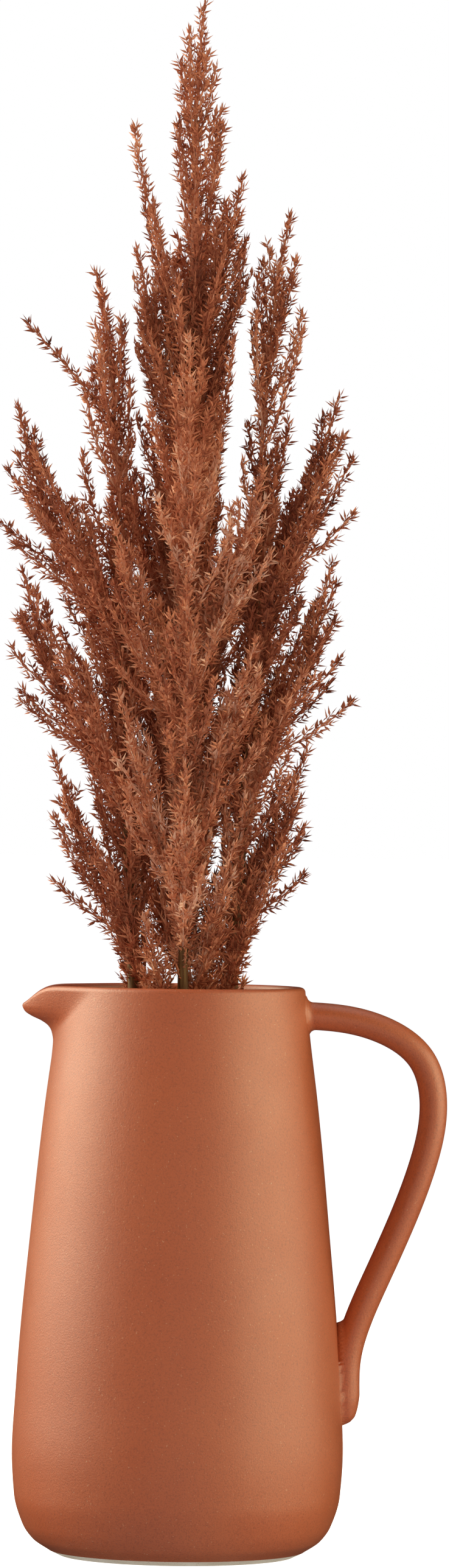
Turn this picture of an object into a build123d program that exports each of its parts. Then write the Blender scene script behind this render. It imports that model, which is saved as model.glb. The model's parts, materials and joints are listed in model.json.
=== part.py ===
"""Stoneware pitcher vase with a pulled spout and a loop handle, holding five plumed stems.

Millimetres. +Z is up, the origin is the centre of the flat underside on the jug's own axis,
the spout points along -X and the handle along +X. Each stem lifts out along its own stalk.
"""
from build123d import *
from math import acos, cos, pi, radians, sin
import os

# --- driving dimensions -------------------------------------------------------------------
RIM_Z = 300.0  # height of the rim above the table
RIM_R = 64.3  # outer radius at the rim
BELLY_R = 87.5  # widest radius
BELLY_Z = 55.0  # height of the widest part
FOOT_R = 62.0  # radius of the flat, unglazed underside
FOOT_Z = 2.6  # height of the unglazed foot edge
FLOOR_Z = 8.0  # inside floor
WALL = 5.5  # thrown wall thickness

SPOUT_REACH = 85.0  # spout tip, measured from the axis
SPOUT_NOSE_R = 8.0  # radius of the nose in plan
SPOUT_ROOT_Z = 268.0  # where the spout leaves the wall

HANDLE_WIDTH = 18.0  # across the strap, along Y
HANDLE_THICK = 14.7  # through the strap

FOAM_R = 46.0  # block of dry floral foam that grips the stalks
FOAM_TOP_Z = 96.0
SOCKET_GAP = 0.4  # radial gap round a stalk in its socket

STALK_FOOT_Z = 14.0  # bottom end of every stalk
STALK_R = 3.0  # stalk radius up to the mouth
STALK_TIP_R = 1.7  # stalk radius where the top plume starts
STEM_FOOT_OUT = 12.0  # distance of the outer stalks from the axis at STALK_FOOT_Z
STEM_LEAN = 0.05  # outward travel of an outer stalk for each unit of height

# The plume's radius along its spine, as (share of its length, share of its full radius).
PLUME_PROFILE = ((0.0, 0.11), (0.16, 0.55), (0.42, 1.0), (0.68, 0.84), (0.88, 0.46), (1.0, 0.08))

os.makedirs("parts", exist_ok=True)


def write(piece, name):
    """Label a finished piece and write it as its own STEP file."""
    piece.part.label = name
    export_step(piece.part, f"parts/{name}.step")


# --- the jug's outlines -------------------------------------------------------------------
OUTER_WALL = [
    (FOOT_R + 5.5, FOOT_Z),
    (76.2, 8.4),
    (84.4, 24.0),
    (BELLY_R, BELLY_Z),
    (84.0, 116.0),
    (75.2, 209.0),
    (67.9, 270.0),
    (RIM_R, RIM_Z),
]
INNER_WALL = [
    (58.0, FLOOR_Z),
    (72.5, 15.5),
    (79.0, 29.0),
    (BELLY_R - WALL, BELLY_Z + 2),
    (84.0 - WALL, 116.0),
    (75.2 - WALL, 209.0),
    (67.9 - WALL, 270.0),
    (RIM_R - WALL, RIM_Z),
]
TOP_Z = RIM_Z + 4  # blanks run past the rim before it is trimmed
# Height, and how far the spout's nose stands from the axis there.
SPOUT_STEPS = (
    (SPOUT_ROOT_Z, 69.0),
    (277.0, 73.0),
    (284.0, 80.5),
    (290.0, SPOUT_REACH),
    (TOP_Z, SPOUT_REACH),
)
# The rim's outline over the spout, seen from the side.
RIM_DROOP = ((-96, 280), (-84.5, 288.5), (-76, 297), (-62, RIM_Z))


def wall_radius(z):
    """Outer radius of the jug's upper wall at height z."""
    share = (z - 270.0) / (RIM_Z - 270.0)
    return 67.9 + share * (RIM_R - 67.9)


def turned_blank(outline, floor_z):
    """Solid of revolution below an outline, carried up past the rim."""
    with BuildPart() as blank:
        with BuildSketch(Plane.XZ):
            with BuildLine():
                wall = Spline(outline)
                Polyline(wall @ 1, (outline[-1][0], TOP_Z), (0, TOP_Z), (0, floor_z), wall @ 0)
            make_face()
        revolve(axis=Axis.Z)
    return blank


def spout_blank(inset):
    """Solid under the pulled lip: a round wall and a nose joined by straight flanks."""
    with BuildPart() as blank:
        for z, reach in SPOUT_STEPS:
            round_r = wall_radius(z) - inset - 0.4
            nose_r = SPOUT_NOSE_R - inset
            nose_x = reach - SPOUT_NOSE_R
            slant = acos((round_r - nose_r) / nose_x)
            flank = (-nose_x - nose_r * cos(slant), nose_r * sin(slant))
            cheek = (-round_r * cos(slant), round_r * sin(slant))
            with BuildSketch(Plane.XY.offset(z)):
                with BuildLine():
                    ThreePointArc((flank[0], -flank[1]), (-nose_x - nose_r, 0), flank)
                    Line(flank, cheek)
                    ThreePointArc(cheek, (round_r, 0), (cheek[0], -cheek[1]))
                    Line((cheek[0], -cheek[1]), (flank[0], -flank[1]))
                make_face()
        loft()
    return blank


outer_blank = turned_blank(OUTER_WALL, FOOT_Z)
inner_blank = turned_blank(INNER_WALL, FLOOR_Z)
spout_outer = spout_blank(0)
spout_inner = spout_blank(WALL - 0.5)

# --- base: the slab that the wall stands on, bare clay underneath ----------------------------
with BuildPart() as base:
    with BuildSketch(Plane.XZ):
        with BuildLine():
            Polyline(
                (0, 0),
                (FOOT_R, 0),
                (FOOT_R + 5.5, FOOT_Z),
                (58.0, FOOT_Z),
                (58.0, FLOOR_Z),
                (0, FLOOR_Z),
                (0, 0),
            )
        make_face()
    revolve(axis=Axis.Z)
write(base, "base")

# --- vase_body: thrown wall with a pulled spout and a rim that droops over it ------------------
with BuildPart() as vase_body:
    add(outer_blank.part)
    add(spout_outer.part)
    add(inner_blank.part, mode=Mode.SUBTRACT)
    add(spout_inner.part, mode=Mode.SUBTRACT)
    with BuildSketch(Plane.XY.offset(FOOT_Z)):
        Circle(58.0)
    extrude(amount=FLOOR_Z - FOOT_Z, mode=Mode.SUBTRACT)
    # The rim is level, and droops over the spout.
    with BuildSketch(Plane.XZ):
        with BuildLine():
            droop = Spline(RIM_DROOP, tangents=((1, 0.6), (1, 0)))
            Polyline(droop @ 1, (96, RIM_Z), (96, 310), (-96, 310), droop @ 0)
        make_face()
    extrude(amount=96, both=True, mode=Mode.SUBTRACT)
write(vase_body, "vase_body")

# --- handle: one pulled strap, luted to the wall at both ends ---------------------------------
HANDLE_PATH = [
    (60.0, 285.5),
    (84.0, 283.8),
    (106.0, 278.0),
    (126.5, 263.0),
    (133.0, 239.5),
    (128.2, 209.0),
    (117.2, 178.0),
    (103.8, 147.0),
    (94.0, 124.0),
    (88.5, 103.0),
    (87.5, 84.0),
    (83.0, 66.0),
]
# Share of the path, width and thickness of the strap there.
HANDLE_SECTIONS = (
    (0.0, 1.16, 1.10),
    (0.08, 1.02, 1.0),
    (0.2, 1.0, 1.0),
    (0.32, 1.0, 1.0),
    (0.46, 1.0, 1.0),
    (0.6, 1.0, 1.0),
    (0.74, 1.0, 1.0),
    (0.86, 1.0, 1.0),
    (0.94, 0.92, 0.86),
    (1.0, 0.6, 0.5),
)
with BuildPart() as handle:
    with BuildLine(Plane.XZ) as handle_line:
        strap = Spline(HANDLE_PATH)
    for share, width, thick in HANDLE_SECTIONS:
        spot = Plane(origin=strap @ share, x_dir=(0, 1, 0), z_dir=strap % share)
        with BuildSketch(spot):
            Ellipse(width * HANDLE_WIDTH / 2, thick * HANDLE_THICK / 2)
    loft()
    add(outer_blank.part, mode=Mode.SUBTRACT)
write(handle, "handle")

# --- stems: a stalk and its plumes, each stem lifting out along its own stalk -------------------
# Name, direction the stem leans in (degrees), top of its last plume, height where its first side
# plume leaves the stalk, and how far its plumes reach from the jug's axis at the widest.
OUTER_STEMS = (
    ("left", 180, 676.0, 264.0, 98.0),
    ("right", 0, 706.0, 270.0, 84.0),
    ("front", 270, 640.0, 258.0, 86.0),
    ("back", 90, 724.0, 276.0, 88.0),
)
SIDE_PLUMES = 9
SIDE_PLUME_R = 12.0
SIDE_PITCH = 29.0  # height from one side plume to the next
SIDE_RISE = 108.0  # height that a side plume climbs
SIDE_ROWS = (-1, 1, 0)  # the plumes leave in turn to one side, to the other and straight out
SIDE_SPREAD = 0.5  # sideways reach of the two side rows, for each unit outward
TOP_RISE = 128.0  # height of the plume that ends an outer stem
TOP_PLUME_R = 11.0
WIDEST_Z = 600.0  # height where the bunch is widest
MOUTH_REACH = 50.0  # reach of the plumes beside the rim
CROWN_REACH = 45.0  # reach of the plumes at a stem's top

CENTRE_TOP_Z = 818.0
CENTRE_PLUMES = 6
CENTRE_PLUME_R = 8.5
CENTRE_FIRST_Z = 430.0
CENTRE_PITCH = 38.0
CENTRE_RISE = 105.0
CENTRE_TURN = 137.5  # degrees from one plume to the next round the stalk
CENTRE_TOP_RISE = 140.0


def stalk_out(z):
    """Distance of an outer stalk from the jug's axis at height z."""
    return STEM_FOOT_OUT + STEM_LEAN * (z - STALK_FOOT_Z)


def turned_to(angle, out, side, z):
    """Point at a distance out along a horizontal direction, and sideways from it."""
    turn = radians(angle)
    x = out * cos(turn) - side * sin(turn)
    y = out * sin(turn) + side * cos(turn)
    return Vector(x, y, z)


def write_stalk(name, foot, top):
    """Round stalk from its foot to the top plume, thinner above the mouth."""
    along = (top - foot).normalized()
    length = (top - foot).length
    neck = RIM_Z - foot.Z
    across = Vector(0, 1, 0).cross(along)
    with BuildPart() as stalk:
        with BuildSketch(Plane(origin=foot, x_dir=across, z_dir=across.cross(along))):
            with BuildLine():
                Polyline(
                    (0, 0),
                    (STALK_R, 0),
                    (STALK_R, neck),
                    (STALK_TIP_R, length),
                    (0, length),
                    (0, 0),
                )
            make_face()
        revolve(axis=Axis(foot, along))
    write(stalk, name)


def write_plume(name, root, knee, tip, full_r):
    """Spindle along a curve from the stalk, swollen in the middle and pointed at the tip."""
    with BuildLine(mode=Mode.PRIVATE):
        spine = Bezier(root, knee, tip)
    with BuildPart() as plume:
        for share, swell in PLUME_PROFILE:
            along = spine % share
            across = Vector(1, 0, 0).cross(along)
            with BuildSketch(Plane(origin=spine @ share, x_dir=across, z_dir=along)):
                Circle(swell * full_r)
        loft()
    write(plume, name)


def reach_at(z, widest, top):
    """Outward reach of a plume whose tip is at height z: full at WIDEST_Z, less above and below."""
    if z < WIDEST_Z:
        climb = max(0.0, (z - RIM_Z - 30) / (WIDEST_Z - RIM_Z - 30))
        return MOUTH_REACH + (widest - MOUTH_REACH) * sin(climb * pi / 2) ** 0.8
    fall = (z - WIDEST_Z) / (top + 20 - WIDEST_Z)
    return widest - (widest - CROWN_REACH) * fall**1.6


def write_outer_stem(name, angle, top, first, widest):
    """A leaning stalk with nine side plumes in three rows, and one plume that ends it."""
    stalk_top = top - TOP_RISE
    foot = turned_to(angle, stalk_out(STALK_FOOT_Z), 0, STALK_FOOT_Z)
    crown_root = turned_to(angle, stalk_out(stalk_top), 0, stalk_top)
    write_stalk(f"{name}_stalk", foot, crown_root)
    for i in range(SIDE_PLUMES):
        row = SIDE_ROWS[i % 3]
        young = i < 2  # the two lowest plumes are smaller and shorter
        root_z = first + i * SIDE_PITCH
        tip_z = root_z + SIDE_RISE * (0.72 + 0.28 * min(1, i / 3))
        out = reach_at(tip_z, widest, top)
        side = row * SIDE_SPREAD * out
        out *= 0.9 if row else 1.0
        bow = 0.1 if row else 0.8
        start = stalk_out(root_z)
        knee_out = start + bow * (out - start)
        write_plume(
            f"{name}_plume_{i + 1}",
            turned_to(angle, start, 0, root_z),
            turned_to(angle, knee_out, 0.55 * side, root_z + 0.35 * (tip_z - root_z)),
            turned_to(angle, out, side, tip_z),
            SIDE_PLUME_R * (0.8 if young else 1.0),
        )
    knee_z = stalk_top + 0.55 * TOP_RISE
    knee = turned_to(angle, stalk_out(knee_z), 0, knee_z)
    crown_tip = turned_to(angle, stalk_out(top) + 10, 0, top)
    write_plume(f"{name}_plume_{SIDE_PLUMES + 1}", crown_root, knee, crown_tip, TOP_PLUME_R)


def write_centre_stem():
    """The tall upright stem: short plumes turning round the stalk, and a long one that ends it."""
    stalk_top = CENTRE_TOP_Z - CENTRE_TOP_RISE
    write_stalk("centre_stalk", Vector(0, 0, STALK_FOOT_Z), Vector(0, 0, stalk_top))
    for i in range(CENTRE_PLUMES):
        angle = i * CENTRE_TURN
        root_z = CENTRE_FIRST_Z + i * CENTRE_PITCH
        tip_z = root_z + CENTRE_RISE
        out = 11 + STEM_LEAN * (tip_z - RIM_Z)
        write_plume(
            f"centre_plume_{i + 1}",
            turned_to(angle, 0, 0, root_z),
            turned_to(angle, 0.5 * out, 0, root_z + 0.42 * CENTRE_RISE),
            turned_to(angle, out, 0, tip_z),
            CENTRE_PLUME_R,
        )
    write_plume(
        f"centre_plume_{CENTRE_PLUMES + 1}",
        Vector(0, 0, stalk_top),
        Vector(0, 2, stalk_top + 0.5 * CENTRE_TOP_RISE),
        Vector(5, 0, CENTRE_TOP_Z),
        TOP_PLUME_R,
    )


# --- foam: a block of dry floral foam on the floor, with a socket for each stalk ------------------
socket_feet = [Vector(0, 0, STALK_FOOT_Z)]
for _, angle, _, _, _ in OUTER_STEMS:
    socket_feet.append(turned_to(angle, STEM_FOOT_OUT, 0, STALK_FOOT_Z))
with BuildPart() as foam:
    with BuildSketch(Plane.XY.offset(FLOOR_Z)):
        Circle(FOAM_R)
    extrude(amount=FOAM_TOP_Z - FLOOR_Z)
    chamfer(foam.faces().sort_by(Axis.Z)[-1].edges(), length=4)
    for foot in socket_feet:
        outward = Vector(foot.X, foot.Y, 0) * (STEM_LEAN / STEM_FOOT_OUT)
        with BuildSketch(Plane(origin=foot, z_dir=outward + Vector(0, 0, 1))):
            Circle(STALK_R + SOCKET_GAP)
        extrude(amount=FOAM_TOP_Z, mode=Mode.SUBTRACT)
write(foam, "foam")

for stem in OUTER_STEMS:
    write_outer_stem(*stem)
write_centre_stem()
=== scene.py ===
"""Looks of the stoneware pitcher vase and its plumed stems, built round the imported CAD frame."""
import json
import math

import bpy
import numpy as np
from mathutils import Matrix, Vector


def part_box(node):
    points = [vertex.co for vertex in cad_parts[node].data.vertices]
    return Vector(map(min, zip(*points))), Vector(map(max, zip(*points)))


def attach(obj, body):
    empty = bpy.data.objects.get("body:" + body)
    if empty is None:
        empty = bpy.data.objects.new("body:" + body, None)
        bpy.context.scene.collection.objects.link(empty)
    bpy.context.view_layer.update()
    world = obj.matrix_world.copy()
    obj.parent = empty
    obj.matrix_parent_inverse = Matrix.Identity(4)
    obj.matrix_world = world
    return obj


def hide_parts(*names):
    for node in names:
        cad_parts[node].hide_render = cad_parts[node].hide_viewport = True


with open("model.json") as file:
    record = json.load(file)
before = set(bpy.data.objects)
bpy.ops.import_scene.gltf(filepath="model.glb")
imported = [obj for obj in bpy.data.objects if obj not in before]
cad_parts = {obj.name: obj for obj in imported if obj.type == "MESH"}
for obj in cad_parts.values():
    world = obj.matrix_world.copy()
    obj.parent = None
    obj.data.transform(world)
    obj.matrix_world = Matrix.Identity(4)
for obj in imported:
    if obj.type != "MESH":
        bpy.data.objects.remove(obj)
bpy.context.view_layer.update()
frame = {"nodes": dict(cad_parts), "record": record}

scene = bpy.context.scene
nodes = frame["nodes"]
MM = 0.001
GOLDEN = math.pi * (3 - math.sqrt(5))

# --- sizes, in metres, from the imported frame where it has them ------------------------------
BODY_LOW, BODY_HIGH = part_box("vase_body")
RIM_Z = BODY_HIGH[2]
FOOT_Z = BODY_LOW[2]
FLOOR_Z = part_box("base")[1][2]
WALL = 5.2 * MM
LIP_R = WALL / 2
FOOT_BEND_Z = 60 * MM  # the rings stand closer together below this
SPOUT_LOW_Z = 262 * MM  # and above this
CORNER_Z = 32 * MM  # where the inside starts to round into its floor
FLOOR_R = 58 * MM  # radius of the flat part of the inner floor

# Outer radius of the wall at chosen heights; the curve between them is smooth.
WALL_Z = np.array((2.6, 8.4, 16.0, 31.5, 55.0, 85.0, 116.0, 178.0, 209.0, 240.0, 270.0, 300.0)) * MM
WALL_R = np.array((67.5, 76.1, 81.4, 86.0, 87.4, 85.9, 83.9, 78.2, 75.2, 71.8, 67.9, 64.4)) * MM

# The pulled spout: how far it stands out at chosen heights, and its half angle at the rim.
SPOUT_Z = np.array((262.0, 270.0, 275.6, 278.5, 281.0, 283.5, 286.0, 289.0, 294.0, 310.0)) * MM
SPOUT_OUT = np.array((0.0, 0.4, 2.0, 4.2, 8.0, 13.6, 17.4, 19.0, 19.4, 19.4)) * MM
SPOUT_HALF = math.radians(47)
SPOUT_FLOOR = 5.0 * MM
SPOUT_DROOP = 8.5 * MM
SPOUT_ROOT_Z = 266 * MM


def smooth_curve(x, xs, ys):
    """Monotone cubic through a few points, for arrays."""
    slope = np.diff(ys) / np.diff(xs)
    mid = np.zeros(len(xs))
    same = slope[:-1] * slope[1:] > 0
    mid[1:-1][same] = 2 / (1 / slope[:-1][same] + 1 / slope[1:][same])
    mid[0], mid[-1] = slope[0], slope[-1]
    i = np.clip(np.searchsorted(xs, x) - 1, 0, len(xs) - 2)
    h = xs[i + 1] - xs[i]
    t = np.clip((x - xs[i]) / h, 0, 1)
    a = 2 * t**3 - 3 * t**2 + 1
    b = t**3 - 2 * t**2 + t
    c = 3 * t**2 - 2 * t**3
    d = t**3 - t**2
    return a * ys[i] + b * h * mid[i] + c * ys[i + 1] + d * h * mid[i + 1]


def wall_radius(z):
    return smooth_curve(z, WALL_Z, WALL_R)


def spout_share(angle, z):
    """From 0 on the round wall to 1 at the middle of the spout; angle is measured from -X."""
    climb = np.clip((z - SPOUT_ROOT_Z) / (RIM_Z - SPOUT_ROOT_Z), 0.12, 1)
    u = np.abs(angle) / (SPOUT_HALF * climb**0.8)
    blunt = 0.12
    u = (np.sqrt(u**2 + blunt**2) - blunt) / (math.sqrt(1 + blunt**2) - blunt)
    return np.clip(1 - u, 0, 1) ** 2.0


def outer_radius(angle, z):
    return wall_radius(z) + smooth_curve(z, SPOUT_Z, SPOUT_OUT) * spout_share(angle, z)


def inner_radius(angle, z):
    """The channel of the spout is the outer shape lifted by the lip's thickness."""
    bulge = smooth_curve(z - SPOUT_FLOOR, SPOUT_Z, SPOUT_OUT) * spout_share(angle, z)
    return np.minimum(wall_radius(z) - WALL + bulge, outer_radius(angle, z) - WALL)


def rim_height(angle):
    """Level round the mouth, lower at the middle of the spout."""
    u = np.abs(angle) / SPOUT_HALF
    return RIM_Z - SPOUT_DROOP * np.exp(-((u / 0.21) ** 2))


# --- mesh helpers -----------------------------------------------------------------------------
def mesh_object(name, points, faces, material, smooth=True, shades=None):
    """New object from arrays of points and faces, with an optional shade for each point."""
    mesh = bpy.data.meshes.new(name)
    if isinstance(faces, np.ndarray):
        faces = faces.tolist()
    mesh.from_pydata(np.asarray(points).tolist(), [], faces)
    mesh.polygons.foreach_set("use_smooth", [smooth] * len(mesh.polygons))
    if shades is not None:
        layer = mesh.attributes.new("shade", "FLOAT", "POINT")
        layer.data.foreach_set("value", np.asarray(shades, dtype=np.float32))
    mesh.materials.append(material)
    mesh.update()
    piece = bpy.data.objects.new(name, mesh)
    scene.collection.objects.link(piece)
    return piece


def grid_faces(rows, columns, closed_rows=False):
    """Quads of a grid whose columns close into a ring."""
    i = np.arange(rows if closed_rows else rows - 1)[:, None]
    j = np.arange(columns)[None, :]
    nxt = (j + 1) % columns
    up = (i + 1) % rows
    corners = (i * columns + j, i * columns + nxt, up * columns + nxt, up * columns + j)
    return np.stack(np.broadcast_arrays(*corners), -1).reshape(-1, 4)


def tube_faces(rings, sides):
    """Quads of a tube and a flat face at each end."""
    faces = grid_faces(rings, sides).tolist()
    faces.append(list(range(sides))[::-1])
    faces.append([(rings - 1) * sides + j for j in range(sides)])
    return faces


def cad_points(name):
    """The corner points of a CAD node's mesh."""
    mesh = nodes[name].data
    points = np.empty(len(mesh.vertices) * 3)
    mesh.vertices.foreach_get("co", points)
    return points.reshape(-1, 3)


def curve_through(points, count):
    """Even points along a natural cubic spline through a few points in a plane, and its directions."""
    points = np.asarray(points)
    t = np.concatenate(([0], np.cumsum(np.linalg.norm(np.diff(points, axis=0), axis=1))))
    n = len(points)
    h = np.diff(t)
    system = np.eye(n)
    load = np.zeros_like(points)
    for i in range(1, n - 1):
        system[i, i - 1 : i + 2] = h[i - 1], 2 * (h[i - 1] + h[i]), h[i]
        load[i] = 6 * ((points[i + 1] - points[i]) / h[i] - (points[i] - points[i - 1]) / h[i - 1])
    bend = np.linalg.solve(system, load)
    s = np.linspace(0, t[-1], count)
    i = np.clip(np.searchsorted(t, s) - 1, 0, n - 2)
    a = ((t[i + 1] - s) / h[i])[:, None]
    b = 1 - a
    hh = (h[i] ** 2 / 6)[:, None]
    place = a * points[i] + b * points[i + 1] + ((a**3 - a) * bend[i] + (b**3 - b) * bend[i + 1]) * hh
    heading = np.gradient(place, axis=0)
    return place, heading / np.linalg.norm(heading, axis=1)[:, None]


# --- camera, at the photograph's angle ---------------------------------------------------------
VIEW_HEIGHT = 827.4 * MM  # height that the frame shows at the jug's axis
VIEW_DISTANCE = 4.2
VIEW_X = 20.6 * MM
VIEW_Z = 406.9 * MM
VIEW_ROLL = math.radians(0.7)
SENSOR = 36  # the camera's own unit, millimetres
camera = bpy.data.objects.new("camera", bpy.data.cameras.new("camera"))
camera.data.sensor_width = SENSOR
camera.data.lens = SENSOR * VIEW_DISTANCE / VIEW_HEIGHT
camera.data.clip_end = 100
camera.location = (VIEW_X, -VIEW_DISTANCE, VIEW_Z)
camera.rotation_euler = (math.pi / 2, -VIEW_ROLL, 0)
scene.collection.objects.link(camera)
scene.camera = camera


# --- light: soft boxes at both sides, overhead and low in front, and a white surround -----------
def soft_box(name, place, target, size, power, colour=(1, 1, 1)):
    lamp = bpy.data.objects.new(name, bpy.data.lights.new(name, "AREA"))
    lamp.data.shape = "RECTANGLE"
    lamp.data.size, lamp.data.size_y = size
    lamp.data.energy = power
    lamp.data.color = colour
    lamp.location = place
    aim = np.array(target) - np.array(place)
    lamp.rotation_euler = Vector(aim).to_track_quat("-Z", "Y").to_euler()
    lamp.visible_camera = False
    scene.collection.objects.link(lamp)
    return lamp


CENTRE = (0, 0, 0.38)
soft_box("key_left", (-1.5, 0.2, 1.0), CENTRE, (1.9, 1.5), 41, (1.0, 0.94, 0.70))
soft_box("key_right", (1.55, -0.4, 0.6), CENTRE, (2.1, 1.5), 22.5, (1.0, 0.92, 0.60))
soft_box("overhead", (0, 0.4, 2.6), CENTRE, (2.0, 2.0), 11)
fill = soft_box("fill_front", (0.2, -2.4, 0.22), CENTRE, (1.8, 1.0), 12.5, (1.0, 0.92, 0.78))
fill.visible_glossy = False

world = bpy.data.worlds.new("surround")
scene.world = world
world.use_nodes = True
world_nodes = world.node_tree.nodes
world_links = world.node_tree.links
# Dim above and brighter from below, where the white table returns light; plain white behind.
around = world_nodes.new("ShaderNodeTexCoord")
split = world_nodes.new("ShaderNodeSeparateXYZ")
world_links.new(around.outputs["Generated"], split.inputs["Vector"])
below = world_nodes.new("ShaderNodeMapRange")
below.inputs["From Min"].default_value = -0.25
below.inputs["From Max"].default_value = 0.05
below.inputs["To Min"].default_value = 0.56
below.inputs["To Max"].default_value = 0.10
world_links.new(split.outputs["Z"], below.inputs["Value"])
seen = world_nodes.new("ShaderNodeLightPath")
strength = world_nodes.new("ShaderNodeMapRange")
strength.inputs["To Max"].default_value = 1.0
world_links.new(seen.outputs["Is Camera Ray"], strength.inputs["Value"])
world_links.new(below.outputs["Result"], strength.inputs["To Min"])
world_links.new(strength.outputs["Result"], world_nodes["Background"].inputs["Strength"])
world_nodes["Background"].inputs["Color"].default_value = (1, 1, 1, 1)
world.cycles_visibility.glossy = False
scene.view_settings.view_transform = "Standard"


# --- materials -----------------------------------------------------------------------------------
def srgb(*values):
    """Linear colour from 0-255 sRGB values."""
    c = np.array(values) / 255
    linear = np.where(c <= 0.04045, c / 12.92, ((c + 0.055) / 1.055) ** 2.4)
    return (*linear, 1.0)


def new_material(name, roughness):
    material = bpy.data.materials.new(name)
    material.use_nodes = True
    material.node_tree.nodes["Principled BSDF"].inputs["Roughness"].default_value = roughness
    return material, material.node_tree, material.node_tree.nodes["Principled BSDF"]


def node(tree, kind, links=None, **values):
    """Adds a node, sets its input values by name and links its inputs to other nodes' outputs."""
    made = tree.nodes.new(kind)
    for key, value in values.items():
        made.inputs[key.replace("_", " ")].default_value = value
    for key, socket in (links or {}).items():
        tree.links.new(socket, made.inputs[key])
    return made


def noise(tree, scale, detail=3.0, roughness=0.55):
    place = tree.nodes.new("ShaderNodeTexCoord")
    links = {"Vector": place.outputs["Object"]}
    made = node(tree, "ShaderNodeTexNoise", links, Scale=scale, Detail=detail, Roughness=roughness)
    return made.outputs["Fac"]


def ramp(tree, fac, *stops):
    """Colour ramp from (position, colour) stops."""
    made = node(tree, "ShaderNodeValToRGB", {"Fac": fac})
    while len(made.color_ramp.elements) < len(stops):
        made.color_ramp.elements.new(0.5)
    for element, (position, colour) in zip(made.color_ramp.elements, stops):
        element.position = position
        element.color = colour
    return made.outputs["Color"]


def mix(tree, fac, a, b, blend="MIX"):
    """Mixes two colours; the node keeps its colour sockets at 6 and 7, and the result at 2."""
    made = tree.nodes.new("ShaderNodeMix")
    made.data_type = "RGBA"
    made.blend_type = blend
    for key, value in ((0, fac), (6, a), (7, b)):
        if hasattr(value, "is_output"):
            tree.links.new(value, made.inputs[key])
        else:
            made.inputs[key].default_value = value
    return made.outputs[2]


def bump(tree, shader, height, strength, distance, after=None):
    made = node(tree, "ShaderNodeBump", {"Height": height}, Strength=strength, Distance=distance)
    if after is not None:
        tree.links.new(after, made.inputs["Normal"])
    tree.links.new(made.outputs["Normal"], shader.inputs["Normal"])
    return made.outputs["Normal"]


def glaze_material():
    """Satin terracotta glaze with a sandy grain, tiny pale flecks painted in as glints, and broad soft
    clouding.
    """
    material, tree, shader = new_material("terracotta_glaze", 0.5)
    clouds = ramp(
        tree,
        noise(tree, 9, 4, 0.6),
        (0.3, srgb(196, 88, 34)),
        (0.55, srgb(201, 94, 38)),
        (0.75, srgb(207, 102, 45)),
    )
    grain = noise(tree, 1000, 3, 0.7)
    dark_grain = ramp(tree, grain, (0.3, (0.74, 0.66, 0.58, 1)), (0.52, (1, 1, 1, 1)))
    colour = mix(tree, 1.0, clouds, dark_grain, "MULTIPLY")
    # Painted glints: small pale flecks mixed into the colour, standing in for the sparkle of the sandy
    # glaze.
    painted_glints = ramp(tree, noise(tree, 900, 1, 0.5), (0.70, (0, 0, 0, 1)), (0.78, (1, 1, 1, 1)))
    colour = mix(tree, painted_glints, colour, srgb(212, 140, 100))
    tree.links.new(colour, shader.inputs["Base Color"])
    rough = ramp(tree, noise(tree, 40, 3), (0.3, (0.47, 0.47, 0.47, 1)), (0.7, (0.55, 0.55, 0.55, 1)))
    tree.links.new(rough, shader.inputs["Roughness"])
    fine = bump(tree, shader, noise(tree, 1250, 2, 0.5), 0.6, 0.0003)
    bump(tree, shader, noise(tree, 60, 2, 0.5), 0.10, 0.0012, fine)
    shader.inputs["Specular IOR Level"].default_value = 1.0
    shader.inputs["Coat Weight"].default_value = 1.0
    shader.inputs["Coat Roughness"].default_value = 0.5
    return material


def clay_material():
    """Bare fired clay: pale buff, dry, with small darker specks."""
    material, tree, shader = new_material("bare_clay", 0.9)
    body = ramp(tree, noise(tree, 60, 4), (0.3, srgb(214, 198, 174)), (0.7, srgb(232, 220, 200)))
    specks = ramp(tree, noise(tree, 1400, 1), (0.68, (0, 0, 0, 1)), (0.74, (1, 1, 1, 1)))
    tree.links.new(mix(tree, specks, body, srgb(150, 118, 90)), shader.inputs["Base Color"])
    bump(tree, shader, noise(tree, 900, 4), 0.5, 0.0003)
    return material


def foam_material():
    """Dry floral foam: dull green-brown with open pores."""
    material, tree, shader = new_material("dry_foam", 0.95)
    body = ramp(tree, noise(tree, 700, 3), (0.35, srgb(52, 50, 34)), (0.6, srgb(96, 96, 66)))
    tree.links.new(body, shader.inputs["Base Color"])
    bump(tree, shader, noise(tree, 800, 3), 0.9, 0.0008)
    return material


def stalk_material():
    """Dry olive-brown bark with long streaks."""
    material, tree, shader = new_material("stalk_bark", 0.7)
    place = tree.nodes.new("ShaderNodeTexCoord")
    stretch = node(tree, "ShaderNodeMapping", {"Vector": place.outputs["Object"]}, Scale=(900, 900, 60))
    streaks = node(tree, "ShaderNodeTexNoise", {"Vector": stretch.outputs["Vector"]}, Scale=1.0, Detail=4.0)
    colour = ramp(
        tree,
        streaks.outputs["Fac"],
        (0.3, srgb(74, 48, 24)),
        (0.5, srgb(112, 76, 40)),
        (0.72, srgb(140, 112, 66)),
    )
    tree.links.new(colour, shader.inputs["Base Color"])
    bump(tree, shader, streaks.outputs["Fac"], 0.6, 0.0004)
    return material


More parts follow.
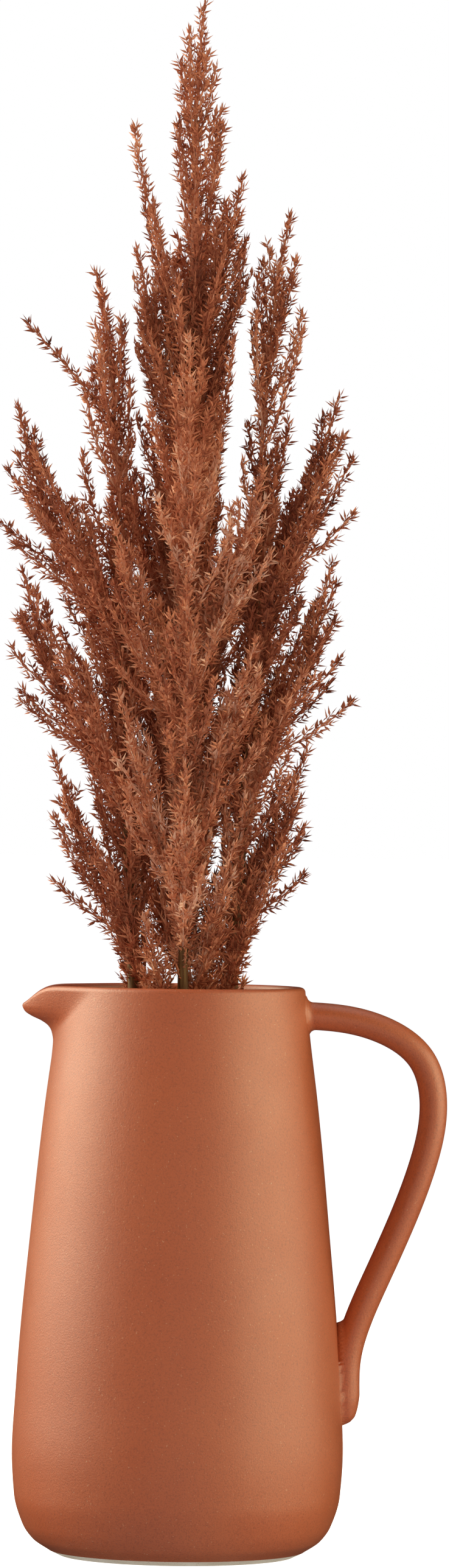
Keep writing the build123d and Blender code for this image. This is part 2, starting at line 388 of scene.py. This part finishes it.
def plume_material():
    """Rust-brown dried plume; each point's shade runs from deep brown to pale pinkish tan, from the plume's
    own tone and from painted shade deep in the plume.
    """
    material, tree, shader = new_material("rust_plume", 0.72)
    shade = tree.nodes.new("ShaderNodeAttribute")
    shade.attribute_name = "shade"
    patch = node(tree, "ShaderNodeMapRange", {"Value": noise(tree, 45, 3)})
    patch.inputs["From Min"].default_value = 0.3
    patch.inputs["From Max"].default_value = 0.7
    patch.inputs["To Min"].default_value = -0.12
    patch.inputs["To Max"].default_value = 0.12
    total = node(tree, "ShaderNodeMath", {0: shade.outputs["Fac"], 1: patch.outputs["Result"]})
    colour = ramp(
        tree,
        total.outputs[0],
        (0.0, srgb(90, 34, 18)),
        (0.35, srgb(174, 94, 63)),
        (0.65, srgb(213, 136, 98)),
        (1.0, srgb(242, 200, 174)),
    )
    tree.links.new(colour, shader.inputs["Base Color"])
    bump(tree, shader, noise(tree, 2200, 2), 0.3, 0.0002)
    return material


GLAZE = glaze_material()
CLAY = clay_material()
FOAM = foam_material()
BARK = stalk_material()
RUST = plume_material()


# --- the jug's wall, with its spout and rounded rim ------------------------------------------------
def make_wall():
    columns = 352
    angle = (np.arange(columns) / columns * 2 - 1) * math.pi
    # Columns stand closer together at the spout.
    angle = np.sign(angle) * math.pi * (np.abs(angle) / math.pi) ** 1.35
    lip_z = rim_height(angle) - LIP_R
    rings = []

    def add_ring(radius, z):
        rings.append(np.stack((-radius * np.cos(angle), radius * np.sin(angle), z + 0 * angle), 1))

    heights = np.concatenate(
        (
            FOOT_Z + (FOOT_BEND_Z - FOOT_Z) * np.linspace(0, 1, 40, endpoint=False) ** 1.8,
            np.linspace(FOOT_BEND_Z, SPOUT_LOW_Z, 44, endpoint=False),
        )
    )
    for z in heights:
        add_ring(outer_radius(angle, z + 0 * angle), z)
    for share in np.linspace(0, 1, 64):
        z = SPOUT_LOW_Z + share * (lip_z - SPOUT_LOW_Z)
        add_ring(outer_radius(angle, z), z)
    outer_lip = outer_radius(angle, lip_z)
    inner_lip = inner_radius(angle, lip_z)
    thick = (outer_lip - inner_lip) / 2
    for turn in np.linspace(0, math.pi, 17)[1:-1]:
        add_ring(outer_lip - thick + thick * math.cos(turn), lip_z + LIP_R * math.sin(turn))
    for share in np.linspace(0, 1, 56):
        z = lip_z + share * (SPOUT_LOW_Z - lip_z)
        add_ring(inner_radius(angle, z), z)
    for z in np.linspace(SPOUT_LOW_Z, CORNER_Z, 40)[1:]:
        add_ring(inner_radius(angle, z + 0 * angle), z)
    corner_r = inner_radius(angle, CORNER_Z + 0 * angle)
    for turn in np.linspace(0, math.pi / 2, 12)[1:]:
        z = CORNER_Z - (CORNER_Z - FLOOR_Z) * math.sin(turn)
        add_ring(FLOOR_R + (corner_r - FLOOR_R) * math.cos(turn), z)
    add_ring(FLOOR_R + 0 * angle, FOOT_Z)
    points = np.concatenate(rings)
    faces = grid_faces(len(rings), columns, closed_rows=True)
    wall = mesh_object("jug_wall", points, faces, GLAZE)
    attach(wall, "vase")
    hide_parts("vase_body")


# --- the handle: an oval strap that flares where it meets the wall ---------------------------------
HANDLE_PATH = np.array(
    (
        (63.4, 285.2),
        (84.0, 283.8),
        (106.0, 278.0),
        (126.3, 263.0),
        (132.9, 239.5),
        (128.2, 209.0),
        (117.2, 178.0),
        (103.8, 147.0),
        (94.2, 124.0),
        (88.9, 103.0),
        (88.5, 86.0),
        (87.6, 76.0),
        (84.6, 69.5),
    )
) * MM
HANDLE_HALF_WIDTH = 9.0 * MM
HANDLE_HALF_THICK = 7.3 * MM
# How far the clay is smoothed out along the wall: at the lower joint, in the gap, at the rim.
FLARE_Z = np.array((86, 120, 150, 250)) * MM
FLARES = np.array((5.0, 1.0, 1.0, 3.6)) * MM
# At the lower joint the gap under the strap is filled where it is narrower than a share of WEB,
# and its end is rounded from there up to WEB.
WEB = 5.2 * MM
WEB_SHARE = 0.6
WEB_TOP_Z = 200 * MM


def make_handle():
    rings, sides = 330, 72
    place, heading = curve_through(HANDLE_PATH, rings)
    share = np.linspace(0, 1, rings)
    thick = HANDLE_HALF_THICK * np.interp(share, (0, 0.03, 0.94, 0.975, 1), (1, 1, 1, 0.85, 0.4))
    width = HANDLE_HALF_WIDTH * np.interp(share, (0, 0.84, 0.95, 0.98, 1), (1, 1, 0.95, 0.8, 0.5))
    turn = np.arange(sides) / sides * 2 * math.pi
    across = np.cos(turn)[None, :] * width[:, None]
    through = np.sin(turn)[None, :] * thick[:, None]
    x = place[:, :1] - heading[:, 1:] * through
    z = place[:, 1:] + heading[:, :1] * through
    points = np.stack((x, across, z), 2)
    middle = np.stack((place[:, 0], 0 * share, place[:, 1]), 1)[:, None, :]
    # Near the wall the surface spreads along it, as smoothed clay does.
    flat = np.hypot(points[..., 0], points[..., 1])
    flare = np.interp(points[..., 2], FLARE_Z, FLARES)
    proud = np.clip((flat - wall_radius(points[..., 2])) / flare, 0, 1)
    spread = flare * (1 - np.sqrt(np.clip(1 - (1 - proud) ** 2, 0, 1)))
    away = np.stack((points[..., 0] / flat, points[..., 1] / flat, 0 * flat), 2)
    # The narrow end of the gap under the strap is filled, with a rounded end.
    high = flat - wall_radius(points[..., 2])
    past = np.clip((high / WEB - WEB_SHARE) / (1 - WEB_SHARE), 0, 1)
    sunk = np.minimum(high, WEB * np.sqrt(1 - (1 - past) ** 2))
    narrow = (high > 0) & (high < WEB) & (points[..., 2] < WEB_TOP_Z)
    points = points - away * np.where(narrow, high - sunk, 0)[..., None]
    reach = points - middle
    reach -= away * np.sum(reach * away, 2)[..., None]
    reach /= np.maximum(np.linalg.norm(reach, axis=2), 1e-6)[..., None]
    points = points + reach * spread[..., None]
    handle = mesh_object("handle_strap", points.reshape(-1, 3), tube_faces(rings, sides), GLAZE)
    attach(handle, "vase")
    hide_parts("handle")


make_wall()
make_handle()
for name, material in (("base", CLAY), ("foam", FOAM)):
    nodes[name].data.materials.clear()
    nodes[name].data.materials.append(material)


# --- plumes ------------------------------------------------------------------------------------------
def unit(v):
    return v / np.maximum(np.linalg.norm(v, axis=-1, keepdims=True), 1e-12)


def square_to(d):
    """Two unit vectors across each direction."""
    helper = np.where(np.abs(d[..., 2:3]) < 0.9, (0.0, 0.0, 1.0), (1.0, 0.0, 0.0))
    a = unit(np.cross(d, helper))
    return a, np.cross(d, a)


STEM_LEAN = 0.05  # how far a stalk leans outward for each unit of height
CORE_R = 14 * MM  # the centre stem's space at the rim
MOUTH_R = 55 * MM
MOUTH_CLEAR = 9 * MM  # height over the rim from which a stem may spread past the mouth
CORE_GAP = 0.3 * MM
SIDE_GAP = 0.5 * MM
DIRECTIONS = {"left_stem": (-1, 0), "right_stem": (1, 0), "front_stem": (0, -1), "back_stem": (0, 1)}
# For each stem: its shade, half width round the bare stalk, shoots on each plume, and shoots
# that leave the stalk between its plumes.
TONES = {
    "left_stem": 0.44,
    "right_stem": 0.44,
    "front_stem": 0.58,
    "back_stem": 0.36,
    "centre_stem": 0.45,
}
SLEEVES = {"left_stem": 13, "right_stem": 13, "front_stem": 12, "back_stem": 20, "centre_stem": 14}
SHOOTS = {"left_stem": 13, "right_stem": 13, "front_stem": 14, "back_stem": 17, "centre_stem": 13}
FILLERS = {"left_stem": 24, "right_stem": 24, "front_stem": 15, "back_stem": 30, "centre_stem": 60}
# One long thin shoot strays out to the left.
STRAY_ROOT = np.array((-31, 0, 580)) * MM
STRAY_TIP = np.array((-86, -3, 648)) * MM
STRAY_BEND = np.array((8, 0, 8)) * MM
AWN_GAP = 2.8 * MM
END_AWN = 5 * MM  # length of the leaflet at a branchlet's end
END_AWN_WIDTH = 1.2 * MM
SHORTEST_BRANCHLET = 1.5 * MM
LONGEST_BRANCHLET = 28 * MM
TWIG_R = 0.45 * MM
RACHIS_TONE = 0.26
HAIR_WIDTH = 0.26 * MM
HAIRINESS = 0.6  # hairs for each millimetre of branchlet, before a plume's own fuzz


class Growth:
    """Collects the closed little solids of one plume: twigs, pointed awns and fine hairs."""

    def __init__(self):
        self.points, self.faces, self.shades, self.count = [], [], [], 0

    def add(self, points, faces, shades):
        """points (n, k, 3), faces (m, 3) for one solid, shades (n, k)"""
        n, k = points.shape[:2]
        if n == 0:
            return
        self.points.append(points.reshape(-1, 3))
        self.faces.append((faces[None] + (self.count + np.arange(n) * k)[:, None, None]).reshape(-1, 3))
        self.shades.append(np.broadcast_to(shades, (n, k)).reshape(-1))
        self.count += n * k

    def twigs(self, lines, radii, shade):
        """Three-sided tubes along lines (n, k, 3)."""
        n, k = lines.shape[:2]
        d = unit(np.gradient(lines, axis=1))
        a, b = square_to(d)
        turn = np.arange(3) * 2 * math.pi / 3
        ring = a[:, :, None] * np.cos(turn)[:, None] + b[:, :, None] * np.sin(turn)[:, None]
        points = lines[:, :, None] + ring * radii[..., None, None]
        faces = [(0, 2, 1), (3 * k - 3, 3 * k - 2, 3 * k - 1)]
        for i in range(k - 1):
            for j in range(3):
                p, q = 3 * i + j, 3 * i + (j + 1) % 3
                faces += [(p, q, q + 3), (p, q + 3, p + 3)]
        self.add(points.reshape(n, 3 * k, 3), np.array(faces), np.asarray(shade)[:, None])

    def awns(self, start, heading, length, width, shade):
        """Pointed leaflets, widest a third of the way along."""
        a, b = square_to(heading)
        turn = np.arange(3) * 2 * math.pi / 3
        waist = start + heading * (0.34 * length)[:, None]
        ring = a[:, None] * np.cos(turn)[:, None] + 0.55 * b[:, None] * np.sin(turn)[:, None]
        ring = waist[:, None] + ring * (width / 2)[:, None, None]
        tip = start + heading * length[:, None]
        points = np.concatenate((start[:, None], ring, tip[:, None]), 1)
        faces = np.array(((0, 2, 1), (0, 3, 2), (0, 1, 3), (4, 1, 2), (4, 2, 3), (4, 3, 1)))
        # Painted shade: each awn is darker at its base, deep in the plume, and lighter at its tip.
        tones = shade[:, None] + np.array((-0.10, 0.0, 0.0, 0.0, 0.10))
        self.add(points, faces, tones)

    def hairs(self, start, heading, length, width, shade):
        a, b = square_to(heading)
        turn = np.arange(3) * 2 * math.pi / 3
        ring = a[:, None] * np.cos(turn)[:, None] + b[:, None] * np.sin(turn)[:, None]
        ring = start[:, None] + ring * width / 2
        points = np.concatenate((ring, (start + heading * length[:, None])[:, None]), 1)
        faces = np.array(((0, 2, 1), (3, 0, 1), (3, 1, 2), (3, 2, 0)))
        # Painted shade: each hair is darker at its base, deep in the plume, and lighter at its tip.
        self.add(points, faces, shade[:, None] + np.array((-0.08, -0.08, -0.08, 0.08)))

    def build(self, name):
        return mesh_object(
            name,
            np.concatenate(self.points),
            np.concatenate(self.faces),
            RUST,
            smooth=False,
            shades=np.clip(np.concatenate(self.shades), 0, 1),
        )


def spine_of(name, count=40):
    """Centre line of a CAD plume, root first: a cubic through the middles of its level slices."""
    points = cad_points(name)
    low, high = points[:, 2].min(), points[:, 2].max()
    edges = np.linspace(low, high, 15)
    middles = []
    for a, b in zip(edges[:-1], edges[1:]):
        inside = points[(points[:, 2] >= a) & (points[:, 2] <= b)]
        if len(inside):
            middles.append((inside.min(0) + inside.max(0)) / 2)
    middles = np.array(middles)
    z = np.linspace(low, high, count)
    x = np.polyval(np.polyfit(middles[:, 2], middles[:, 0], 3), z)
    y = np.polyval(np.polyfit(middles[:, 2], middles[:, 1], 3), z)
    return np.stack((x, y, z), 1)


def outline(t, fullness, taper):
    """Half width of a plume along its spine: quick to swell, then narrowing to a point."""
    return fullness * np.minimum(t / 0.2, 1) ** 0.7 * (1 - t) ** taper + 1.2 * MM


def inside_zone(body, points):
    """Whether points lie in a stem's own space: a core for the centre stem, a quarter each round it.

    The spaces widen upward as the stalks lean, so a stem that slides along its stalk stays in its own.
    """
    x, y, z = points[..., 0], points[..., 1], points[..., 2]
    far = np.hypot(x, y)
    core = CORE_R + STEM_LEAN * (z - RIM_Z)
    mouth = (far < MOUTH_R) | (z > RIM_Z + MOUTH_CLEAR)
    if body == "centre_stem":
        return (far < core - CORE_GAP) & mouth
    ahead = DIRECTIONS[body]
    out = x * ahead[0] + y * ahead[1]
    side = np.abs(x * ahead[1] - y * ahead[0])
    return (side < out - SIDE_GAP) & (far > core + CORE_GAP) & mouth


class Branchlets:
    """Curved branchlets on one rachis, each with its root, first heading, lift, length and shade."""

    def __init__(self, root, first, lift, lateral, reach, shade):
        self.root, self.first, self.lift = root, first, lift
        self.lateral, self.reach, self.shade = lateral, reach, shade
        self.count = len(reach)

    def spot(self, i, s):
        """Where branchlets i are at shares s of their lengths."""
        straight = self.first[i] * (s * self.reach[i])[:, None]
        return self.root[i] + straight + self.lift[i] * (s**2 * self.reach[i])[:, None]

    def trimmed(self, body):
        """Ends each branchlet where it would leave its stem's own space; drops what is too short."""
        stations = np.linspace(0, 1, 9)
        every = np.arange(self.count)
        spots = (self.spot(every, np.full(self.count, s)) for s in stations)
        clear = np.stack([inside_zone(body, spot) for spot in spots], 1)
        reach = self.reach * np.where(clear.all(1), 1.0, np.argmin(clear, 1) / len(stations))
        keep = reach > SHORTEST_BRANCHLET
        fields = (self.root, self.first, self.lift, self.lateral, reach, self.shade)
        return Branchlets(*(field[keep] for field in fields))


def set_branchlets(rng, spine, half_width, step, tone, taper):
    """Branchlets in a spiral round a spine, closer to it toward its tip."""
    length = np.linalg.norm(np.diff(spine, axis=0), axis=1).sum()
    share = np.linspace(0, 1, len(spine))
    heading = unit(np.gradient(spine, axis=0))
    count = max(5, int(length / step))
    t = np.clip(np.linspace(0.03, 0.985, count) + rng.uniform(-0.4, 0.4, count) / count, 0.02, 0.99)
    root = np.stack([np.interp(t, share, spine[:, i]) for i in range(3)], 1)
    along = unit(np.stack([np.interp(t, share, heading[:, i]) for i in range(3)], 1))
    a, b = square_to(along)
    turn = np.arange(count) * GOLDEN + rng.uniform(-0.35, 0.35, count)
    lateral = a * np.cos(turn)[:, None] + b * np.sin(turn)[:, None]
    slant = np.radians(rng.uniform(26, 44, count)) * (1 - 0.3 * t)
    first = along * np.cos(slant)[:, None] + lateral * np.sin(slant)[:, None]
    reach = outline(t, half_width, taper) / np.sin(slant) * rng.uniform(0.7, 1.15, count)
    reach = np.minimum(reach, LONGEST_BRANCHLET)
    lift = 0.22 * (along - first * np.sum(along * first, 1)[:, None])
    shade = tone + rng.uniform(-0.10, 0.10, count)
    return Branchlets(root, first, lift, lateral, reach, shade)


def add_awns(growth, rng, body, twigs):
    """Awns in pairs, spreading to both sides of each branchlet, and one at its end."""
    first, lift = twigs.first, twigs.lift
    pairs = np.maximum(2, (twigs.reach / AWN_GAP).astype(int))
    i = np.repeat(np.arange(twigs.count), 2 * pairs)
    order = np.arange(len(i)) - np.repeat(np.cumsum(2 * pairs) - 2 * pairs, 2 * pairs)
    s = (order // 2 + 0.7) / (pairs[i] + 0.3)
    n = len(i)
    twig = unit(first[i] + 2 * lift[i] * s[:, None])
    side = unit(twigs.lateral - first * np.sum(twigs.lateral * first, 1)[:, None])[i]
    swing = rng.normal(0, 0.55, n)
    across = side * np.cos(swing)[:, None] + np.cross(first[i], side) * np.sin(swing)[:, None]
    splay = np.radians(rng.uniform(26, 52, n))
    flip = np.where(order % 2 == 0, 1.0, -1.0)
    way = unit(twig * np.cos(splay)[:, None] + across * (flip * np.sin(splay))[:, None])
    size = rng.uniform(4.2, 6.8, n) * MM * (1.1 - 0.25 * s)
    start = twigs.spot(i, s)
    ok = inside_zone(body, start + way * size[:, None])
    width = rng.uniform(1.7, 2.8, n) * MM
    tones = twigs.shade[i] + rng.uniform(-0.16, 0.12, n)
    growth.awns(start[ok], way[ok], size[ok], width[ok], tones[ok])
    end = twigs.spot(np.arange(twigs.count), np.ones(twigs.count))
    way = unit(first + 2 * lift)
    ok = inside_zone(body, end + way * END_AWN)
    size, width = np.full(ok.sum(), END_AWN), np.full(ok.sum(), END_AWN_WIDTH)
    growth.awns(end[ok], way[ok], size, width, twigs.shade[ok])


def add_hairs(growth, rng, body, twigs, fuzz):
    """Fine hairs all over the branchlets."""
    i = np.repeat(np.arange(twigs.count), (twigs.reach / MM * HAIRINESS * fuzz).astype(int))
    n = len(i)
    start = twigs.spot(i, rng.uniform(0, 1, n))
    way = unit(twigs.first[i] * 0.6 + rng.normal(0, 0.6, (n, 3)))
    size = rng.uniform(1.8, 4.8, n) * MM
    ok = inside_zone(body, start + way * size[:, None])
    tones = twigs.shade[i] + rng.uniform(0.0, 0.32, n)
    growth.hairs(start[ok], way[ok], size[ok], HAIR_WIDTH, tones[ok])


def branch_out(growth, rng, body, spine, half_width, step, rachis_r, tone, fuzz, taper=0.8):
    """Rachis with spirally set branchlets, each bearing paired awns and a fuzz of hairs."""
    within = inside_zone(body, spine)
    if not within.all():
        spine = spine[: np.argmin(within)]
    if len(spine) < 4:
        return
    share = np.linspace(0, 1, len(spine))
    growth.twigs(spine[None], (rachis_r * (1 - 0.75 * share))[None], [tone + RACHIS_TONE])
    twigs = set_branchlets(rng, spine, half_width, step, tone, taper).trimmed(body)
    if twigs.count == 0:
        return
    s = np.linspace(0, 1, 4)
    lines = twigs.root[:, None] + twigs.first[:, None] * (s * twigs.reach[:, None])[..., None]
    lines = lines + twigs.lift[:, None] * ((s**2) * twigs.reach[:, None])[..., None]
    radii = TWIG_R * (1 - 0.65 * s)[None] * np.ones((twigs.count, 1))
    growth.twigs(lines, radii, twigs.shade)
    add_awns(growth, rng, body, twigs)
    add_hairs(growth, rng, body, twigs, fuzz)


def side_spine(rng, spine, t, turn, length):
    """Arching line of a side shoot that leaves a spine at share t."""
    i = int(t * (len(spine) - 1))
    along = unit(spine[min(i + 1, len(spine) - 1)] - spine[max(i - 1, 0)])
    a, b = square_to(along)
    lateral = a * math.cos(turn) + b * math.sin(turn)
    slant = math.radians(rng.uniform(16, 34))
    first = along * math.cos(slant) + lateral * math.sin(slant)
    s = np.linspace(0, 1, 12)[:, None]
    return spine[i] + first * s * length + (along - first) * 0.35 * s**2 * length


def gathered(spine):
    """Draws a side plume's line in toward the axis near the mouth, where the bunch is tied closer."""
    pull = np.interp(spine[:, 2], (RIM_Z - 20 * MM, RIM_Z + 150 * MM), (0.74, 0.93))[:, None]
    return spine * np.concatenate((pull, pull, np.ones_like(pull)), 1)


def make_plume(name, body, seed):
    rng = np.random.default_rng(seed)
    spine = spine_of(name)
    central = body == "centre_stem"
    if not central:
        spine = gathered(spine)
    growth = Growth()
    tone = TONES[body] + rng.uniform(-0.08, 0.08)
    height = spine[-1, 2] - spine[0, 2]
    # Plumes beside the rim are slimmer than those further up.
    girth = np.interp(spine[0, 2], (RIM_Z - 20 * MM, RIM_Z + 90 * MM), (0.7, 1.0))
    main_size = {"half_width": 6.5 * MM * girth, "step": 2.8 * MM, "rachis_r": 1.0 * MM}
    shoot_size = {"half_width": 3.9 * MM, "step": 2.9 * MM, "rachis_r": 0.6 * MM}
    branch_out(growth, rng, body, spine, **main_size, tone=tone, fuzz=2.2)
    shoots = SHOOTS[body]
    turn = rng.uniform(0, 2 * math.pi)
    for k in range(shoots):
        t = 0.03 + 0.72 * k / shoots
        turn += GOLDEN
        length = girth * (0.60 * (1 - t) + 0.02) * rng.uniform(0.7, 1.1) * height
        shoot = side_spine(rng, spine, t, turn, length)
        shade = tone + rng.uniform(-0.14, 0.14)
        branch_out(growth, rng, body, shoot, **shoot_size, tone=shade, fuzz=rng.uniform(0.6, 2.4))
    plume = growth.build(name + "_spray")
    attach(plume, body)
    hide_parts(name)


def make_sleeve(name, body, foot, top, seed):
    """Short branchlets and fuzz all up a stalk from the mouth, and shoots that leave it."""
    rng = np.random.default_rng(seed)
    low = (RIM_Z - 6 * MM - foot[2]) / (top[2] - foot[2])
    spine = foot + (top - foot) * np.linspace(low, 1.0, 80)[:, None]
    fuzz = Growth()
    sleeve_size = {"half_width": SLEEVES[body] * MM, "step": 1.9 * MM, "rachis_r": 1.2 * MM}
    branch_out(fuzz, rng, body, spine, **sleeve_size, tone=TONES[body], fuzz=3.6, taper=0.3)
    shoots = Growth()
    turn = rng.uniform(0, 2 * math.pi)
    fillers = FILLERS[body]
    span = 1.5 if body == "centre_stem" else 1.0
    shoot_size = {"half_width": 4.5 * MM, "step": 2.8 * MM, "rachis_r": 0.6 * MM}
    for k in range(fillers):
        t = 0.04 + 0.92 * k / fillers
        turn += GOLDEN
        shoot = side_spine(rng, spine, t, turn, span * rng.uniform(45, 75) * MM)
        tone = TONES[body] + rng.uniform(-0.16, 0.12)
        branch_out(shoots, rng, body, shoot, **shoot_size, tone=tone, fuzz=rng.uniform(0.8, 3.0))
    if body == "left_stem":
        share = np.linspace(0, 1, 16)[:, None]
        line = STRAY_ROOT + (STRAY_TIP - STRAY_ROOT) * share + STRAY_BEND * share * (1 - share)
        stray_size = {"half_width": 4.2 * MM, "step": 3.0 * MM, "rachis_r": 0.9 * MM}
        branch_out(shoots, rng, body, line, **stray_size, tone=0.3, fuzz=0.8, taper=1.9)
    for growth, ending in ((fuzz, "_fuzz"), (shoots, "_shoots")):
        piece = growth.build(name + ending)
        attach(piece, body)


# --- stalks --------------------------------------------------------------------------------------
KNOTS = 9
KNOT_SWELL = 0.35 * MM
KNOT_LENGTH = 3 * MM
KNOT_LOW_Z = 110 * MM  # the stalk is plain below this: in the foam and just over it
SLEEVE_SEED = 500  # added, so that a sleeve draws other numbers than its stalk


def make_stalk(name, body, seed):
    """Ribbed round stalk with swollen joints, along the CAD stalk, and its sleeve."""
    rng = np.random.default_rng(seed)
    corners = cad_points(name)
    low, high = corners[:, 2].min(), corners[:, 2].max()
    foot = corners[corners[:, 2] < low + 1 * MM].mean(0)
    top = corners[corners[:, 2] > high - 1 * MM].mean(0)
    rings, sides = 160, 16
    s = np.linspace(0, 1, rings)
    line = foot + (top - foot) * s[:, None]
    z = line[:, 2]
    radius = np.interp(z, (low, RIM_Z, high), (2.9, 2.8, 1.6)) * MM
    joints = low + (high - low) * (np.arange(KNOTS) + rng.uniform(0.2, 0.8, KNOTS)) / KNOTS
    for joint in joints:
        swell = KNOT_SWELL * np.exp(-(((z - joint) / KNOT_LENGTH) ** 2))
        radius = radius + swell * (z > KNOT_LOW_Z)
    turn = np.arange(sides) / sides * 2 * math.pi
    ribs = 1 + 0.05 * np.sin(turn * 5)
    ring = np.stack((np.cos(turn) * ribs, np.sin(turn) * ribs, 0 * turn), 1)
    points = line[:, None] + ring[None] * radius[:, None, None]
    stalk = mesh_object(name + "_bark", points.reshape(-1, 3), tube_faces(rings, sides), BARK)
    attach(stalk, body)
    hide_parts(name)
    make_sleeve(name, body, foot, top, seed + SLEEVE_SEED)


seed = 11
for body, members in frame["record"]["behaviour"]["bodies"].items():
    for name in members:
        seed += 1
        if "_plume_" in name:
            make_plume(name, body, seed)
        elif name.endswith("_stalk"):
            make_stalk(name, body, seed)


# --- floor ---------------------------------------------------------------------------------------
def make_floor():
    material, tree, shader = new_material("pale_floor", 0.8)
    colour = ramp(tree, noise(tree, 2, 2), (0.3, (0.86, 0.86, 0.86, 1)), (0.7, (0.88, 0.88, 0.88, 1)))
    tree.links.new(colour, shader.inputs["Base Color"])
    shader.inputs["Emission Color"].default_value = (1, 1, 1, 1)
    shader.inputs["Emission Strength"].default_value = 0.95
    half = 40
    corners = ((-half, -half, 0), (half, -half, 0), (half, half, 0), (-half, half, 0))
    floor = mesh_object("floor", corners, [(0, 1, 2, 3)], material)
    floor.visible_diffuse = False
    floor.visible_glossy = False


make_floor()
